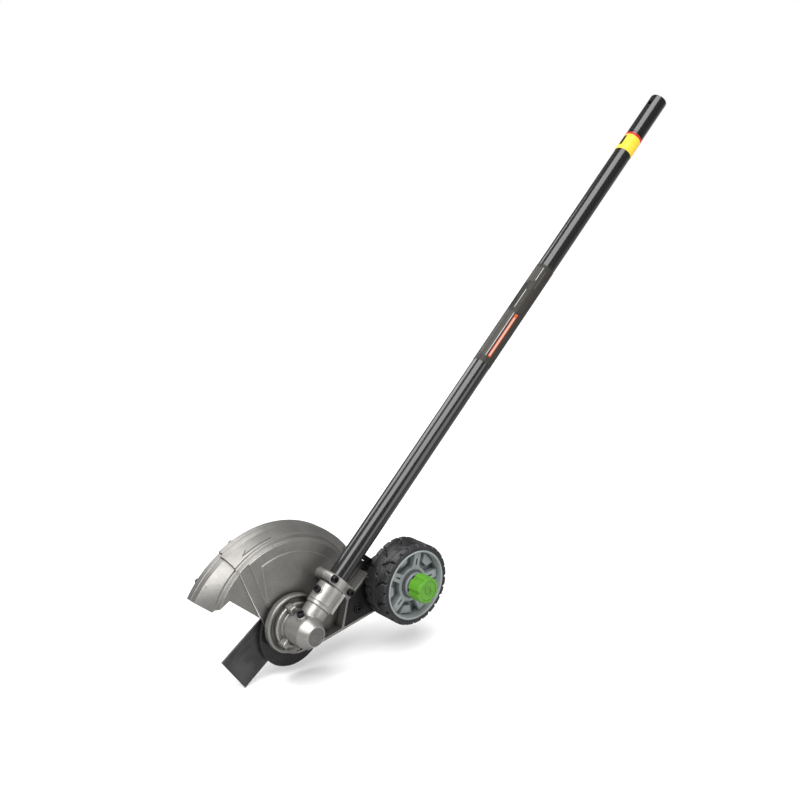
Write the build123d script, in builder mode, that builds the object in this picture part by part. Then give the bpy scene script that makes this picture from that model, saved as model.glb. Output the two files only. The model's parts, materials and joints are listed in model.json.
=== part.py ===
from build123d import *
import math
import os

# Lawn edger attachment: a boom tube with a drive shaft inside, a bevel gear case, a cast blade guard,
# an edging blade and a depth wheel. Millimetres. +Y is the blade axis and points away from the gear case,
# +X runs from the nose of the guard to the wheel, +Z is up. The origin is on the blade axis.

# ---------------------------------------------------------------- driving dimensions
boom_angle = 43.6          # boom above the horizontal, degrees
boom_y = -46.0             # boom and blade axes cross here
tube_radius = 12.7
tube_wall = 1.8
tube_start = 27.5          # distances along the boom are measured from the blade axis
tube_end = 925.0
latch_distance = 908.5
latch_radius = 3.2
shaft_radius = 4.0
running = 0.05             # radial clearance of a turning or sliding fit
gap = 0.02                 # clearance between parts that are fixed together

blade_half_length = 92.0
blade_half_width = 27.0
blade_angle = 215.0        # rest direction of one blade end
blade_back_y = -5.0
blade_thickness = 3.0

rim_centre = (0.9, -22.9)  # the guard's rim is struck from below the blade axis
rim_radius = 139.6
seam_y = 18.5              # joint between the cover and the rim band
rim_back_y = 29.0
guard_wall = 3.0
plate_back_y = -12.5       # inner face of the guard plate
base_y = -14.0             # outer face of the guard plate outside the plateau
plateau_y = -15.5
panel_y = -16.5
plateau_radius = 104.5
panel_radius = 91.0
hub_radius = 32.0          # rounded lower end of the guard plate
cover_start_angle = 29.0   # the guard covers from here...
cover_end_angle = 125.5    # ...to here, where the nose takes over
boss_radius = 38.2
boss_y = -26.0             # seat of the gear case
boss_lip_y = -28.0
chin_centre = (11.0, -1.0) # round lower lip that runs on into the arm
chin_radius = 40.9
arm_front_y = -31.0
arm_end_x = 138.0

barrel_radius = 21.0
flange_radius = 29.0
flange_front_y = -32.0
case_front_y = -73.9
cap_radius = 12.1
neck_radius = 15.5
neck_end = 31.0
spigot_radius = 18.0
spigot_end_y = -15.0
sleeve_radius = 17.0
sleeve_end = 62.2
lug_angles = (108.0, 220.0, 332.0)
lug_centre_radius = 24.5

pinion_teeth = 12
gear_teeth = 16
gear_module = 1.6
cone_distance = gear_module / 2 * math.hypot(pinion_teeth, gear_teeth)
tooth_face = 6.0

wheel_x = 161.0
wheel_z = 19.0
wheel_front_y = -75.0
wheel_back_y = -33.2
tyre_radius = 54.5
rim_seat_radius = 45.5
rim_lip_radius = 46.8
bolt_radius = 4.0
sleeve_outer_radius = 6.0
slide_down = 34.0
slide_up = 6.0
knob_radius = 18.0
knob_front_y = -97.5
knob_lobes = 6

# ---------------------------------------------------------------- frames and helpers
boom_direction = Vector(math.cos(math.radians(boom_angle)), 0, math.sin(math.radians(boom_angle)))
boom_normal = Vector(-boom_direction.Z, 0, boom_direction.X)
boom_origin = Vector(0, boom_y, 0)
blade_axis = Axis((0, 0, 0), (0, 1, 0))
wheel_axis = Axis((wheel_x, 0, wheel_z), (0, 1, 0))
wheel_section = Plane(origin=(wheel_x, 0, wheel_z), x_dir=(1, 0, 0), z_dir=(0, 0, 1))


def side_plane(y):
    """Plane square to the blade axis. Its local axes are X and Z, and it extrudes towards -Y."""
    return Plane.XZ.offset(-y)


def boom_plane(distance):
    """Plane square to the boom. Local x is +Y, local y points up and to the nose."""
    return Plane(origin=boom_origin + boom_direction * distance, x_dir=(0, 1, 0), z_dir=boom_direction)


def boom_point(distance, across):
    """X and Z of a point beside the boom axis."""
    point = boom_direction * distance + boom_normal * across
    return (point.X, point.Z)


def polar(radius, angle):
    return (radius * math.cos(math.radians(angle)), radius * math.sin(math.radians(angle)))


def back_plane(place, y):
    """Plane at an X and Z place, facing away from the gear case."""
    return Plane(origin=(place[0], y, place[1]), x_dir=(1, 0, 0), z_dir=(0, 1, 0))


def front_plane(place, y):
    """Plane at an X and Z place, facing the gear case side."""
    return Plane(origin=(place[0], y, place[1]), x_dir=(1, 0, 0), z_dir=(0, -1, 0))


def radial_plane(angle, radius, y, centre=(0, 0)):
    """Plane facing outward from a Y axis through centre, at a radius and an angle in X and Z."""
    x, z = polar(radius, angle)
    out_x, out_z = polar(1, angle)
    return Plane(origin=(centre[0] + x, y, centre[1] + z), x_dir=(0, 1, 0), z_dir=(out_x, 0, out_z))


def outline(points, mode=Mode.ADD):
    """Closed polygon face in the current sketch."""
    with BuildLine() as edge:
        Polyline(*points, close=True)
    make_face(edge.edges(), mode=mode)


def turned(profile, axis=blade_axis, plane=Plane.XY, mode=Mode.ADD):
    """Solid of revolution from (radius, y) points."""
    with BuildSketch(plane) as face:
        outline(profile)
    revolve(face.sketch, axis=axis, mode=mode)


def ring(plane, outer, inner, length):
    """Tube section from the plane along its normal."""
    with BuildSketch(plane) as face:
        Circle(outer)
        Circle(inner, mode=Mode.SUBTRACT)
    extrude(face.sketch, amount=length)


def disc(plane, radius, length, mode=Mode.ADD):
    with BuildSketch(plane) as face:
        Circle(radius)
    extrude(face.sketch, amount=length, mode=mode)


def wall(points, thickness, back_y, front_y):
    """Upright wall along a line in X and Z."""
    with BuildSketch(side_plane(back_y)) as face:
        with BuildLine():
            Polyline(*points)
        trace(line_width=thickness)
    extrude(face.sketch, amount=back_y - front_y)


def cap_screw(seat, radius, length):
    """Socket head screw whose head stands on the seat plane's normal side."""
    head_height = 2 * radius
    head_radius = 1.8 * radius
    disc(seat, head_radius, head_height)
    chamfer(faces().sort_by(Axis(seat.origin, seat.z_dir))[-1].edges(), 0.15 * radius)
    disc(seat, radius, -length)
    with BuildSketch(seat.offset(head_height)) as face:
        RegularPolygon(0.95 * radius, 6)
    extrude(face.sketch, amount=-radius, mode=Mode.SUBTRACT)


def sector(angle_from, angle_to, radius=200.0, steps=6):
    """Pie-slice points from the origin, long enough to enclose the guard."""
    span = (angle_to - angle_from) / steps
    return [(0, 0)] + [polar(radius, angle_from + span * i) for i in range(steps + 1)]


# ---------------------------------------------------------------- boom
shaft_bushing_distances = (250.0, 480.0, 710.0)
shaft_bushing_length = 16.0
end_plug_length = 9.0
end_flange_length = 3.0
tube_bore = tube_radius - tube_wall
insertion_line = 849.5
insertion_line_width = 1.0
insertion_line_depth = 0.4

with BuildPart() as shaft_tube:
    ring(boom_plane(tube_start), tube_radius, tube_bore, tube_end - tube_start)
    latch_origin = boom_origin + boom_direction * latch_distance
    disc(Plane(latch_origin, x_dir=boom_direction, z_dir=boom_normal), latch_radius, 20, Mode.SUBTRACT)
    # shallow turned line that shows how far the tube goes into a coupler
    with BuildSketch(boom_plane(insertion_line)):
        Circle(tube_radius + 1)
        Circle(tube_radius - insertion_line_depth, mode=Mode.SUBTRACT)
    extrude(amount=insertion_line_width, mode=Mode.SUBTRACT)

with BuildPart() as tube_end_bushing:
    disc(boom_plane(tube_end - end_plug_length), tube_bore - gap, end_plug_length)
    disc(boom_plane(tube_end + gap), tube_radius - 0.5, end_flange_length)
    disc(boom_plane(tube_end), tube_bore - gap, end_flange_length)
    chamfer(faces().sort_by(Axis(boom_origin, boom_direction))[-1].edges(), 0.8)
    disc(boom_plane(tube_end - 20), shaft_radius + running, 30, Mode.SUBTRACT)

with BuildPart() as shaft_bushings:
    for distance in shaft_bushing_distances:
        ring(boom_plane(distance), tube_bore - gap, shaft_radius + running, shaft_bushing_length)

label_thickness = 0.3
insertion_label_start = 814.0
label_span = 220.0
label_centre = 145.0


def tube_label(start, length):
    """Sticker wrapped round the side of the tube that faces up and out."""
    bare_from = label_centre + label_span / 2
    with BuildSketch(boom_plane(start)) as face:
        Circle(tube_radius + gap / 2 + label_thickness)
        Circle(tube_radius + gap / 2, mode=Mode.SUBTRACT)
        outline(sector(bare_from, bare_from + 360 - label_span, 30.0), mode=Mode.SUBTRACT)
    extrude(face.sketch, amount=length)


with BuildPart() as insertion_label:
    tube_label(insertion_label_start, 33.0)

with BuildPart() as rating_label:
    tube_label(418.0, 170.0)

# ---------------------------------------------------------------- gear case
case_bore_radius = 14.0
cavity_radius = 16.5
cavity_back_y = -33.0
cavity_front_y = -60.0
pinion_bore_radius = 11.0
tail_seat_y = -67.0
plug_depth = 3.0
case_screw_radius = 2.5
grease_angle = 106.0
grease_y = -52.0
sleeve_screw_distance = 48.0
sleeve_screw_angle = 100.0
neck_spigot_radius = 14.2
pad_from = 78.0             # angles about the boom, from +Y towards the boom's upper side
pad_to = 175.0
slit_angle = 225.0
neck_spigot_end = 60.0
case_bolt_radius = 2.5


def sleeve_screw_seat(radius):
    """Plane facing outward from the boom axis at the sleeve screw."""
    side, rise = polar(1, sleeve_screw_angle)
    out = Vector(0, side, 0) + boom_normal * rise
    origin = boom_origin + boom_direction * sleeve_screw_distance + out * radius
    return Plane(origin=origin, x_dir=boom_direction, z_dir=out)


with BuildPart() as gear_case:
    turned([
        (0, spigot_end_y), (spigot_radius, spigot_end_y), (spigot_radius, boss_y - gap),
        (flange_radius, boss_y - gap), (flange_radius, flange_front_y + 1),
        (flange_radius - 1, flange_front_y),
        (barrel_radius + 1, flange_front_y), (barrel_radius, flange_front_y - 1),
        (barrel_radius - 0.8, -61.0), (barrel_radius - 2.2, -64.2), (cap_radius + 1.2, case_front_y + 0.8),
        (cap_radius + 0.5, case_front_y), (0, case_front_y),
    ])
    disc(boom_plane(0), neck_radius, neck_end)
    disc(radial_plane(grease_angle, 12, grease_y), 6.2, 11)
    for angle in lug_angles:
        with BuildSketch(side_plane(flange_front_y + 5)):
            with Locations(polar(lug_centre_radius, angle)):
                RectangleRounded(13, 9.5, 2, rotation=angle)
        extrude(amount=13, taper=4)
    for angle in (236.0, 20.0):
        with BuildSketch(side_plane(flange_front_y)):
            with Locations(polar(barrel_radius, angle)):
                Rectangle(6, 2.6, rotation=angle)
        extrude(amount=24, taper=1.5)
    ring(boom_plane(neck_end - 1), neck_spigot_radius, tube_radius + gap, neck_spigot_end - neck_end + 1)
    # gear cavity, bearing seats, tube socket and screw holes
    disc(side_plane(cavity_back_y), cavity_radius, cavity_back_y - cavity_front_y, Mode.SUBTRACT)
    disc(side_plane(spigot_end_y + 1), case_bore_radius + gap, 20, Mode.SUBTRACT)
    disc(side_plane(cavity_front_y), pinion_bore_radius + gap, cavity_front_y - tail_seat_y, Mode.SUBTRACT)
    disc(side_plane(case_front_y + plug_depth), cap_radius + gap, 5, Mode.SUBTRACT)
    disc(boom_plane(0), pinion_bore_radius + gap, tube_start, Mode.SUBTRACT)
    disc(boom_plane(tube_start - gap), tube_radius + gap, 60, Mode.SUBTRACT)
    disc(radial_plane(grease_angle, 12, grease_y), case_screw_radius + gap, 20, Mode.SUBTRACT)
    disc(sleeve_screw_seat(12), case_screw_radius + gap, 10, Mode.SUBTRACT)
    for angle in lug_angles:
        with BuildSketch(side_plane(boss_y + 1)):
            with Locations(polar(lug_centre_radius, angle)):
                Circle(case_bolt_radius + gap)
        extrude(amount=13, mode=Mode.SUBTRACT)

with BuildPart() as gear_case_plug:
    disc(side_plane(case_front_y + plug_depth - gap), cap_radius - gap, plug_depth - gap)
    disc(side_plane(case_front_y + 0.5), cap_radius - 2.5, 2, Mode.SUBTRACT)
    disc(side_plane(case_front_y + 0.5), 1.6, 0.5)

with BuildPart() as grease_screw:
    cap_screw(radial_plane(grease_angle, 23 + gap, grease_y), case_screw_radius, 5)

with BuildPart() as clamp_sleeve:
    disc(boom_plane(neck_end + 0.6), sleeve_radius, sleeve_end - neck_end - 0.6)
    chamfer(edges().filter_by(GeomType.CIRCLE), 0.8)
    with BuildSketch(boom_plane(neck_end + 6)):
        Circle(sleeve_radius + 1.4)
        outline(sector(pad_to, pad_from + 360, 60.0, 12), mode=Mode.SUBTRACT)
    extrude(amount=sleeve_end - neck_end - 8)
    with BuildSketch(boom_plane(neck_end + 3)):
        with Locations(polar(sleeve_radius, slit_angle)):
            Rectangle(7, 6.5, rotation=slit_angle)
    extrude(amount=sleeve_end - neck_end - 3)
    disc(sleeve_screw_seat(12), 5.5, 7.5)
    disc(boom_plane(20), neck_spigot_radius + gap, 60, Mode.SUBTRACT)
    with BuildSketch(boom_plane(neck_end)):
        with Locations(polar(sleeve_radius, slit_angle)):
            Rectangle(12, 1.6, rotation=slit_angle)
    extrude(amount=60, mode=Mode.SUBTRACT)
    disc(sleeve_screw_seat(10), case_screw_radius + gap, 20, Mode.SUBTRACT)

with BuildPart() as clamp_sleeve_screw:
    cap_screw(sleeve_screw_seat(19.5 + gap), case_screw_radius, 6.6)

# ---------------------------------------------------------------- bearings and seal
output_bearing_y = (-31.0, -23.0)
tail_bearing_y = (-60.2, -66.9)
seal_y = (-21.8, -16.2)
pinion_bearing_start = 18.2
pinion_bearing_length = 7.0
journal_radius = 6.0
collar_radius = 8.0


def bearing(plane, outer, bore, length):
    """Sealed ball bearing shown as one closed unit with a shield groove on each face."""
    ring(plane, outer, bore, length)
    middle = (outer + bore) / 2
    half = (outer - bore) / 4
    for face_plane, depth in ((plane.offset(length), -0.5), (plane, 0.5)):
        with BuildSketch(face_plane) as face:
            Circle(middle + half)
            Circle(middle - half, mode=Mode.SUBTRACT)
        extrude(face.sketch, amount=depth, mode=Mode.SUBTRACT)


with BuildPart() as output_bearing:
    bearing(side_plane(output_bearing_y[1]), case_bore_radius, journal_radius + running, 8.0)

with BuildPart() as tail_bearing:
    bearing(side_plane(tail_bearing_y[0]), pinion_bore_radius, shaft_radius + running, 6.6)

with BuildPart() as pinion_bearing:
    bearing(boom_plane(pinion_bearing_start), pinion_bore_radius, shaft_radius + running,
            pinion_bearing_length)

with BuildPart() as pinion_circlip:
    with BuildSketch(boom_plane(pinion_bearing_start + pinion_bearing_length + 0.1)):
        Circle(pinion_bore_radius)
        Circle(pinion_bore_radius - 2, mode=Mode.SUBTRACT)
        with Locations((pinion_bore_radius, 0)):
            Rectangle(8, 5, mode=Mode.SUBTRACT)
    extrude(amount=1.2)

with BuildPart() as shaft_seal:
    ring(side_plane(seal_y[1]), case_bore_radius, collar_radius + running, 5.6)
    with BuildSketch(side_plane(seal_y[1])):
        Circle(case_bore_radius - 2)
        Circle(collar_radius + 1.5, mode=Mode.SUBTRACT)
    extrude(amount=2.5, mode=Mode.SUBTRACT)

# ---------------------------------------------------------------- bevel gears
addendum = 0.75 * gear_module
dedendum = 1.05 * gear_module
half_tooth = 0.20 * math.pi * gear_module
tooth_foot = dedendum + 0.3     # tooth sides run a little into the gear body
flank = math.tan(math.radians(22))
pinion_cone = math.degrees(math.atan2(pinion_teeth, gear_teeth))
gear_cone = 90.0 - pinion_cone


def bevel_gear(axis, start, teeth, cone, first_angle, bore, back):
    """Straight bevel gear. All its tooth faces run to the point where the two shafts cross.

    start is the local x direction, first_angle the place of the first tooth from it, and back the
    distance of the gear's back face from the crossing point.
    """
    side = axis.cross(start)
    pitch_radius = gear_module * teeth / 2
    sin_cone = math.sin(math.radians(cone))
    cos_cone = math.cos(math.radians(cone))
    inner = (cone_distance - tooth_face) / cone_distance
    section = Plane(origin=boom_origin, x_dir=start, z_dir=start.cross(axis))
    outer_point = (pitch_radius - dedendum * cos_cone, cone_distance * cos_cone + dedendum * sin_cone)
    inner_point = (outer_point[0] * inner, outer_point[1] * inner)
    with BuildSketch(section) as face:
        outline([(bore, inner_point[1]), inner_point, outer_point, (outer_point[0], back), (bore, back)])
    revolve(face.sketch, axis=Axis(boom_origin, axis))
    top = half_tooth - addendum * flank
    foot = half_tooth + tooth_foot * flank
    for i in range(teeth):
        angle = math.radians(first_angle + 360.0 * i / teeth)
        out = start * math.cos(angle) + side * math.sin(angle)
        along = axis * cos_cone + out * sin_cone
        ends = []
        for scale in (1.0, inner):
            origin = boom_origin + along * (cone_distance * scale)
            with BuildSketch(Plane(origin=origin, x_dir=axis.cross(out), z_dir=along)) as face:
                outline([(-top * scale, -addendum * scale), (top * scale, -addendum * scale),
                         (foot * scale, tooth_foot * scale), (-foot * scale, tooth_foot * scale)])
            ends.append(face.sketch)
        loft(ends)


with BuildPart() as driven_gear:
    bevel_gear(Vector(0, 1, 0), boom_direction, gear_teeth, gear_cone, 180.0 / gear_teeth, 5.0, 13.0)
    ring(side_plane(output_bearing_y[0] - 0.1), 8.0, 5.0, 2.0)

with BuildPart() as pinion_gear:
    bevel_gear(boom_direction, Vector(0, 1, 0), pinion_teeth, pinion_cone, 0.0, shaft_radius, 16.0)
    ring(boom_plane(15.9), 6.5, shaft_radius, pinion_bearing_start - 16.0)

# ---------------------------------------------------------------- turning shafts
flange_seat_y = -9.0
arbor_radius = 7.0
thread_radius = 5.0
thread_end_y = 14.0
cup_radius = 27.0
cup_lip_y = -10.2
square_side = 5.6

with BuildPart() as drive_shaft:
    disc(boom_plane(9), shaft_radius, tube_end - 12 - 9)
    with BuildSketch(boom_plane(tube_end - 13)):
        Rectangle(square_side, square_side)
    extrude(amount=13 + 7)

with BuildPart() as output_shaft:
    disc(side_plane(-50.0), shaft_radius, 16.6)
    disc(side_plane(output_bearing_y[0]), 5.0, 19.0)
    disc(side_plane(output_bearing_y[1]), journal_radius, 8.0)
    disc(side_plane(flange_seat_y), collar_radius, flange_seat_y - output_bearing_y[1])
    disc(side_plane(blade_back_y + blade_thickness - 0.2), arbor_radius, 4.5 + blade_thickness)
    disc(side_plane(thread_end_y), thread_radius, thread_end_y - blade_back_y)
    chamfer(faces().sort_by(Axis.Y)[-1].edges(), 0.8)

# ---------------------------------------------------------------- blade and its clamping parts
with BuildPart() as inner_flange:
    turned([
        (arbor_radius, flange_seat_y), (arbor_radius, blade_back_y), (15.0, blade_back_y),
        (16.5, flange_seat_y + 2.2), (cup_radius - 4, flange_seat_y + 2.2),
        (cup_radius, flange_seat_y + 0.6),
        (cup_radius, cup_lip_y), (cup_radius - 1.8, cup_lip_y), (cup_radius - 1.8, flange_seat_y),
    ])

with BuildPart() as edger_blade:
    with BuildSketch(side_plane(blade_back_y + blade_thickness)):
        Rectangle(2 * blade_half_length, 2 * blade_half_width, rotation=blade_angle - 180)
        Circle(arbor_radius, mode=Mode.SUBTRACT)
    extrude(amount=blade_thickness)
    chamfer(faces().sort_by(Axis.Y)[-1].edges().filter_by(GeomType.LINE), 1.0)

with BuildPart() as outer_flange:
    turned([
        (thread_radius, blade_back_y + blade_thickness), (17.0, blade_back_y + blade_thickness),
        (17.0, 0.0), (13.0, 2.6), (thread_radius, 2.6),
    ])

with BuildPart() as blade_nut:
    with BuildSketch(side_plane(10.6)):
        RegularPolygon(9.8, 6)
    extrude(amount=8)
    disc(side_plane(4.1), 12.0, 1.5)
    disc(side_plane(20), thread_radius, 20, Mode.SUBTRACT)
    chamfer(faces().sort_by(Axis.Y)[-1].edges().filter_by(GeomType.LINE), 0.7)

# ---------------------------------------------------------------- guard
cup_floor_y = -23.0
boss_cavity_radius = 29.3
shield_centre = (9.0, -16.0)
shield_radius = 49.0
shield_front_y = plate_back_y + 0.1
shield_thickness = 1.5
shield_lip_y = -7.5
saddle_middle = 68.7
saddle_length = 12.5
saddle_front_y = -60.5
ear_back_y = -31.0
ear_reach = 23.5
ear_corner = 5.5
saddle_screw_offset = 17.5
saddle_screw_radius = 2.5
bracket_screws = ((99.0, -9.5), (127.0, 31.0))
bracket_screw_radius = 2.5
plate_edge = [(105.6, base_y), (107.6, -8.4), (109.2, -6.4), (110.4, -7.2)]
bevel_back_y = 8.9         # the sloping band runs from the plate's edge back to here
bevel_inner_y = (-4.6, 9.6)
plate_inner_radius = (103.6, 107.3)
rim_corner = 0.8
cover_edge_top = (-70.0, 90.3)
cover_edge_foot = (-32.0, -2.0)
nose_drop = 2.2            # the nose lies this far inside the cover's surface
nose_foot = (-38.9, 13.7)
nose_notch = (-80.8, 50.2)
nose_tip = [(-100.9, 39.0), (-115.3, 50.0), (-115.3, 52.0)]
rim_lip_depth = 11.0
screw_inset = 5.6          # screw circle inside the rim
post_radius = 3.6
post_front_y = 8.0
guard_screw_angles = (42.0, 78.0, 112.0)
nose_screw_angle = 138.0
guard_screw_radius = 2.0
plateau_edge = [(-71.0, 137.0), (-31.8, 29.6)]
panel_edge = [(-50.0, 181.0), (-31.2, 33.4)]
arm_slope = 9.6            # rise of the arm's lower edge, degrees
arm_root = (chin_centre[0] + polar(chin_radius, arm_slope - 90)[0],
            chin_centre[1] + polar(chin_radius, arm_slope - 90)[1])
arm_wall = 3.0


def arm_edge(x, inset=0.0):
    """Point on the arm's lower edge line, moved inward by inset."""
    along = (x - arm_root[0]) / math.cos(math.radians(arm_slope))
    in_x, in_z = polar(inset, arm_slope + 90)
    return (x + in_x, arm_root[1] + along * math.sin(math.radians(arm_slope)) + in_z)


def chin_arc(radius, first_angle, steps=8):
    """Points of the chin's arc, from its left end down to the start of the arm."""
    points = []
    for i in range(steps + 1):
        x, z = polar(radius, first_angle + (270 + arm_slope - first_angle) * i / steps)
        points.append((chin_centre[0] + x, chin_centre[1] + z))
    return points


def rim_point(angle, inset):
    """Point inside the rim circle, where the direction from the rim's centre has this angle."""
    x, z = polar(rim_radius - inset, angle)
    return (rim_centre[0] + x, rim_centre[1] + z)


def ruled(levels, mode=Mode.ADD):
    """Solid through circles given as (centre, radius, y)."""
    ends = []
    for centre, radius, y in levels:
        with BuildSketch(side_plane(y)) as face:
            with Locations(centre):
                Circle(radius)
        ends.append(face.sketch)
    for front, back in zip(ends, ends[1:]):
        loft([front, back], ruled=True, mode=mode)


def guard_shell(drop):
    """Hollow half of the guard from its plate out to the seam, set drop millimetres inside the cover."""
    lift = 0.8 * drop
    rim = rim_radius - drop
    on_axis = (0, 0)
    edge = [(r - drop, y + lift) for r, y in plate_edge]
    turned([(0, base_y + lift)] + edge + [(0, edge[-1][1])])
    ruled([
        (on_axis, edge[-1][0], edge[-1][1]), (rim_centre, rim - rim_corner, bevel_back_y + lift),
        (rim_centre, rim, seam_y - rim_corner), (rim_centre, rim - rim_corner, seam_y),
    ])
    ruled([
        (on_axis, plate_inner_radius[0] - drop, plate_back_y + lift),
        (on_axis, plate_inner_radius[1] - drop, bevel_inner_y[0] + lift),
        (rim_centre, rim - rim_corner - guard_wall, bevel_inner_y[1] + lift),
        (rim_centre, rim - rim_corner - guard_wall, seam_y + 0.5),
    ], Mode.SUBTRACT)


def screw_post(place, back_y, front_y):
    with BuildSketch(side_plane(back_y)) as face:
        with Locations(place):
            Circle(post_radius)
    extrude(face.sketch, amount=back_y - front_y)


def screw_hole(place):
    with BuildSketch(side_plane(rim_back_y + 1)) as face:
        with Locations(place):
            Circle(guard_screw_radius + gap)
    extrude(face.sketch, amount=rim_back_y + 1 - post_front_y - 2, mode=Mode.SUBTRACT)


cover_screws = [rim_point(angle, screw_inset) for angle in guard_screw_angles]
nose_screw = rim_point(nose_screw_angle, screw_inset + nose_drop)
saddle_holes = [boom_point(saddle_middle, side * saddle_screw_offset) for side in (1, -1)]

with BuildPart() as guard_cover:
    guard_shell(0.0)
    with BuildSketch(side_plane(seam_y + 1)):
        Circle(hub_radius)
        outline([cover_edge_foot, cover_edge_top] + sector(cover_start_angle, cover_end_angle)[::-1])
    extrude(amount=60, mode=Mode.INTERSECT)
    # closing wall at the wheel end of the cover
    wall([polar(97, cover_start_angle + 0.8), polar(125.5, cover_start_angle + 0.8)], guard_wall,
         seam_y - 2, plate_back_y - 1)
    # plateau and raised panel
    for edge, radius, front_y in (
        (plateau_edge, plateau_radius, plateau_y), (panel_edge, panel_radius, panel_y),
    ):
        with BuildSketch(side_plane(base_y)):
            Circle(radius)
            outline(edge + [(-10, 0), (60, 10), (110, 20), polar(150, cover_start_angle), (190, 190)],
                    mode=Mode.INTERSECT)
        extrude(amount=base_y - front_y, taper=20)
    # arm towards the wheel, and the walls along its edges
    with BuildSketch(side_plane(plate_back_y)):
        outline([
            (0, 0), polar(103, 60), polar(103, cover_start_angle), polar(118, cover_start_angle),
            (126, 42), (arm_end_x, 28), arm_edge(arm_end_x),
        ] + chin_arc(chin_radius, 206.0)[::-1])
    extrude(amount=plate_back_y - plateau_y)
    wall(chin_arc(chin_radius - arm_wall / 2, 228.0), arm_wall, base_y, boss_lip_y)
    wall([arm_edge(arm_root[0], arm_wall / 2), arm_edge(arm_end_x, arm_wall / 2)], arm_wall,
         base_y, arm_front_y)
    wall([(82.0, 8.0), (72.8, -31.0)], arm_wall, base_y, arm_front_y)
    wall([(70.5, 29.0), (82.0, 8.0), (117.0, 33.5)], arm_wall, base_y, arm_front_y)
    wall([boom_point(26, -18), boom_point(saddle_middle - 6, -18)], arm_wall, base_y, -38.0)
    for x, z in bracket_screws:
        with BuildSketch(side_plane(plate_back_y + 4.5)):
            with Locations((x, z)):
                Circle(6.0)
        extrude(amount=6)
    # boss with a shallow dish for the gear case, hollow behind
    turned([
        (0, plate_back_y), (hub_radius, plate_back_y), (boss_radius, -20.0),
        (boss_radius, boss_lip_y + 1.2), (boss_radius - 1.2, boss_lip_y), (boss_radius - 2.6, boss_lip_y),
        (flange_radius + 3, boss_y), (0, boss_y),
    ])
    disc(side_plane(plate_back_y + 1), boss_cavity_radius, plate_back_y + 1 - cup_floor_y, Mode.SUBTRACT)
    disc(side_plane(plate_back_y + 1), spigot_radius + gap, 20, Mode.SUBTRACT)
    # saddle block under the boom
    with BuildSketch(side_plane(base_y)):
        with Locations(boom_point(saddle_middle, -7)):
            RectangleRounded(saddle_length - 1, 27, 2, rotation=boom_angle)
    extrude(amount=base_y - boom_y - 0.1)
    with BuildSketch(side_plane(ear_back_y)):
        with Locations(boom_point(saddle_middle, 0)):
            RectangleRounded(saddle_length, 2 * ear_reach, ear_corner, rotation=boom_angle)
    extrude(amount=ear_back_y - boom_y - 0.1)
    disc(boom_plane(sleeve_end - 2), tube_radius + gap, 25, Mode.SUBTRACT)
    disc(boom_plane(sleeve_end - 24), sleeve_radius + 2.0, 24.2, Mode.SUBTRACT)
    for place in cover_screws:
        screw_post(place, seam_y, post_front_y)
        screw_hole(place)
    # screw holes
    for angle in lug_angles:
        with BuildSketch(side_plane(cup_floor_y + 1)):
            with Locations(polar(lug_centre_radius, angle)):
                Circle(case_bolt_radius + gap)
        extrude(amount=10, mode=Mode.SUBTRACT)
    with BuildSketch(side_plane(0)):
        with Locations(*bracket_screws):
            Circle(bracket_screw_radius + gap)
    extrude(amount=20, mode=Mode.SUBTRACT)
    with BuildSketch(side_plane(-22)):
        with Locations(*saddle_holes):
            Circle(saddle_screw_radius + gap)
    extrude(amount=30, mode=Mode.SUBTRACT)

nose_outline = [nose_foot, nose_notch] + nose_tip
with BuildPart() as guard_nose:
    guard_shell(nose_drop)
    with BuildSketch(side_plane(seam_y + 1)):
        outline(nose_outline + [polar(200, 140), polar(200, cover_end_angle), cover_edge_top])
    extrude(amount=60, mode=Mode.INTERSECT)
    screw_post(nose_screw, seam_y, post_front_y)
    screw_hole(nose_screw)


def band(radius, lip_depth):
    """Rim band with a lip that turns inward at the back."""
    face_y = seam_y + 0.05
    ruled([
        (rim_centre, radius - rim_corner, face_y), (rim_centre, radius, seam_y + rim_corner),
        (rim_centre, radius, rim_back_y - 1.5), (rim_centre, radius - 1.5, rim_back_y),
    ])
    for inset, back_y in ((guard_wall, rim_back_y - 2.5), (lip_depth, rim_back_y + 1)):
        with BuildSketch(side_plane(back_y)) as face:
            with Locations(rim_centre):
                Circle(radius - inset)
        extrude(face.sketch, amount=back_y - face_y + 1, mode=Mode.SUBTRACT)


with BuildPart() as guard_rim:
    band(rim_radius, rim_lip_depth)
    with BuildSketch(side_plane(rim_back_y + 1)):
        outline(sector(cover_start_angle, cover_end_angle))
    extrude(amount=60, mode=Mode.INTERSECT)
    for place in cover_screws:
        screw_post(place, rim_back_y - 1, seam_y + 0.05)
        screw_hole(place)

with BuildPart() as nose_band:
    band(rim_radius - nose_drop, rim_lip_depth - nose_drop)
    with BuildSketch(side_plane(rim_back_y + 1)):
        outline(nose_outline + [polar(200, 140), polar(200, cover_end_angle - 0.2), (0, 0)])
    extrude(amount=60, mode=Mode.INTERSECT)
    screw_post(nose_screw, rim_back_y - 1, seam_y + 0.05)
    screw_hole(nose_screw)

with guard_rim:
    add(nose_band.part)

with BuildPart() as guard_screws:
    for place in cover_screws + [nose_screw]:
        cap_screw(back_plane(place, rim_back_y + gap), guard_screw_radius, 18.0)

with BuildPart() as dust_shield:
    # dished black plate round the spindle, hung low behind the guard
    with BuildSketch(side_plane(shield_front_y + shield_thickness)):
        with Locations(shield_centre):
            Circle(shield_radius)
    extrude(amount=shield_thickness)
    with BuildSketch(side_plane(shield_lip_y)):
        with Locations(shield_centre):
            Circle(shield_radius)
            Circle(shield_radius - 1.8, mode=Mode.SUBTRACT)
    extrude(amount=shield_lip_y - shield_front_y)
    chamfer(faces().sort_by(Axis.Y)[0].edges(), 1.0)
    disc(side_plane(plate_back_y + 1), spigot_radius + 3, 4.0)
    disc(side_plane(plate_back_y + 3), spigot_radius + gap, 10.0, Mode.SUBTRACT)

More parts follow.
